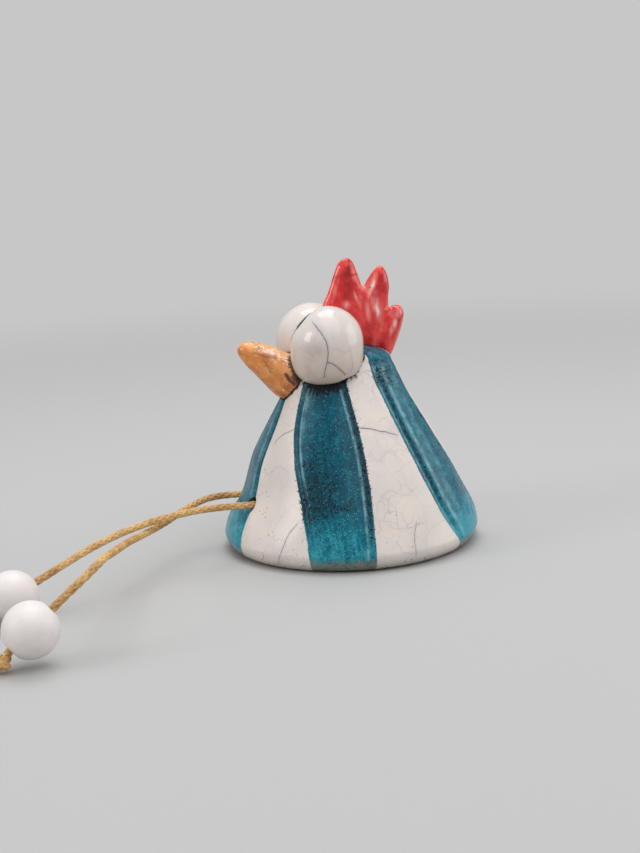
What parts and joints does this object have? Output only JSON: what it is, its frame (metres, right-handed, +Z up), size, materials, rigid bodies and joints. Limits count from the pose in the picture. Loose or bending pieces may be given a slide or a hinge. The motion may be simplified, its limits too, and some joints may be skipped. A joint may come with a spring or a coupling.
{
  "type": "ceramic hen figurine",
  "caption": "Shelf-sitting ornament hen: hollow glazed cone body with stripes, ball eyes, beak and comb, and cord legs ending in wooden beads",
  "frame": {"origin": "the middle of the base ring, on the surface that the hen stands on", "axes": "+Z is up, the hen looks along -Y, and its left side is +X"},
  "size_m": [0.114, 0.1523, 0.0794],
  "materials": {
    "white_glaze": "glossy crackle glaze",
    "orange_glaze": "glossy glaze",
    "red_glaze": "glossy glaze",
    "painted_wood": "satin paint",
    "waxed_cord": "waxed twisted cotton"
  },
  "bodies": {
    "hen": {"body_shell": "white_glaze", "left_eye": "white_glaze", "right_eye": "white_glaze", "beak": "orange_glaze", "comb": "red_glaze", "left_anchor_knot": "waxed_cord", "right_anchor_knot": "waxed_cord", "left_leg_cord": "waxed_cord", "right_leg_cord": "waxed_cord", "left_end_knot": "waxed_cord", "right_end_knot": "waxed_cord"},
    "left_foot": {"left_bead": "painted_wood"},
    "right_foot": {"right_bead": "painted_wood"}
  },
  "joints": [
    {"name": "left_bead_slide", "type": "slide", "parent": "hen", "child": "left_foot", "axis": [-0.5531, 0.7981, 0.239], "range_m": [0, 0.01]},
    {"name": "right_bead_slide", "type": "slide", "parent": "hen", "child": "right_foot", "axis": [-0.186, 0.7819, 0.595], "range_m": [0, 0.01]}
  ]
}
